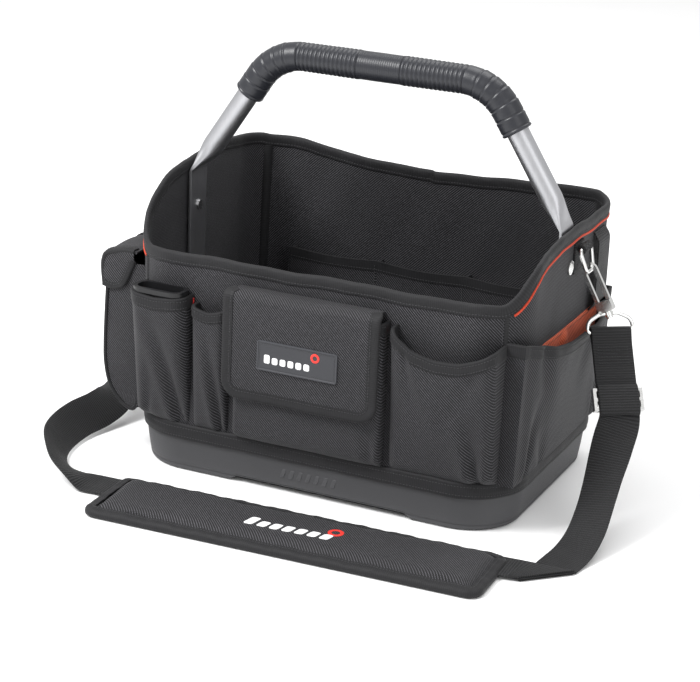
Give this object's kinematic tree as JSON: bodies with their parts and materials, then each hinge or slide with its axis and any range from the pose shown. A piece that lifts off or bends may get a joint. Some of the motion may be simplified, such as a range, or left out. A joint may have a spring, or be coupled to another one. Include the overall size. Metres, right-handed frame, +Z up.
{
  "type": "garden tool bag",
  "caption": "Open-top fabric tool bag on a moulded tub, with a fixed tubular handle, outer and inner pockets, flap pocket, lidded side pouch and a clip-on shoulder strap with pad.",
  "frame": {"origin": "middle of the tub's underside, on the surface it stands on", "axes": "+X along the bag's length, front with the flap pocket towards -Y, +Z up"},
  "size_m": [0.5841, 0.441, 0.417],
  "materials": {
    "tub": "matte",
    "board": "matte",
    "fabric": "diagonal twill, matte",
    "binding": "folded binding tape, matte",
    "piping": "satin cord",
    "lining": "plain weave, matte",
    "tube": "satin",
    "grip": "matte, ribbed",
    "hardware": "polished nickel",
    "plastic": "satin",
    "webbing": "ribbed webbing",
    "hook_loop": "hook-and-loop tape",
    "label": "satin, moulded",
    "badge": "printed"
  },
  "bodies": {
    "bag": {"anchor_tab_left": "webbing", "anchor_tab_right": "webbing", "back_panel": "fabric", "back_pocket": "fabric", "bar_tacks": "piping", "base_board": "board", "base_tub": "tub", "flap_pocket": "fabric", "front_panel": "fabric", "front_right_pocket": "fabric", "handle_end_left": "tube", "handle_end_right": "tube", "handle_grip": "grip", "handle_rivets": "hardware", "handle_tube": "tube", "holster_ring": "plastic", "inner_loops_front": "webbing", "inner_pocket_back": "fabric", "knife_pocket": "fabric", "left_panel": "fabric", "narrow_pocket": "fabric", "piping_left": "piping", "piping_right": "piping", "pocket_loop_strip": "hook_loop", "pouch_edge_binding": "binding", "pouch_loop_strip": "hook_loop", "right_panel": "fabric", "rim_binding": "binding", "side_pocket_lining": "lining", "side_pocket_right": "fabric", "side_pouch_left": "fabric", "tape_loop": "webbing", "trim_band": "binding"},
    "front_flap": {"front_flap": "fabric", "flap_hook_strip": "hook_loop", "label_patch": "label"},
    "pouch_lid": {"pouch_lid": "fabric", "lid_hook_strip": "hook_loop"},
    "strap": {"anchor_sleeve_left": "webbing", "anchor_sleeve_right": "webbing", "d_ring_left": "hardware", "d_ring_right": "hardware", "half_ring_left": "hardware", "half_ring_right": "hardware", "strap_upper_right": "webbing", "strap_lower_right": "webbing", "strap_middle": "webbing", "strap_left": "webbing"},
    "hook_right": {"snap_hook_right": "hardware"},
    "hook_left": {"snap_hook_left": "hardware"},
    "gate_right": {"hook_gate_right": "hardware"},
    "gate_left": {"hook_gate_left": "hardware"},
    "adjuster": {"strap_adjuster": "hardware"},
    "shoulder_pad": {"pad_cushion": "fabric", "pad_backing": "fabric", "pad_badge": "badge"}
  },
  "joints": [
    {"name": "flap_hinge", "type": "hinge", "parent": "bag", "child": "front_flap", "pos_m": [0, -0.1419, 0.204], "axis": [-1, 0, 0], "range_deg": [0, 85]},
    {"name": "pouch_lid_hinge", "type": "hinge", "parent": "bag", "child": "pouch_lid", "pos_m": [-0.2062, -0.083, 0.2098], "axis": [0, 1, 0], "range_deg": [0, 85]},
    {"name": "strap_swing", "type": "hinge", "parent": "bag", "child": "strap", "pos_m": [0, 0.0125, 0.251], "axis": [-1, 0, 0], "range_deg": [0, 135]},
    {"name": "hook_swivel_right", "type": "hinge", "parent": "strap", "child": "hook_right", "pos_m": [0.218, 0.0125, 0.229], "axis": [0.4913, 0, -0.871], "range_deg": [-20, 20]},
    {"name": "hook_swivel_left", "type": "hinge", "parent": "strap", "child": "hook_left", "pos_m": [-0.218, 0.0125, 0.229], "axis": [-0.7182, 0, -0.6958], "range_deg": [-20, 20]},
    {"name": "hook_gate_right_hinge", "type": "hinge", "parent": "hook_right", "child": "gate_right", "pos_m": [0.23017, 0.0125, 0.19522], "axis": [0, 1, 0], "range_deg": [0, 13], "stiffness_Nm_per_rad": 0.02, "springref_deg": -11.46},
    {"name": "hook_gate_left_hinge", "type": "hinge", "parent": "hook_left", "child": "gate_left", "pos_m": [-0.23925, 0.0125, 0.20006], "axis": [0, -1, 0], "range_deg": [0, 13], "stiffness_Nm_per_rad": 0.02, "springref_deg": -11.46},
    {"name": "adjuster_slide", "type": "slide", "parent": "strap", "child": "adjuster", "axis": [0.3336, -0.4786, -0.8122], "range_m": [-0.028, 0.004]},
    {"name": "pad_slide", "type": "slide", "parent": "strap", "child": "shoulder_pad", "axis": [0.9993, 0.0384, 0], "range_m": [-0.025, 0.01]}
  ]
}
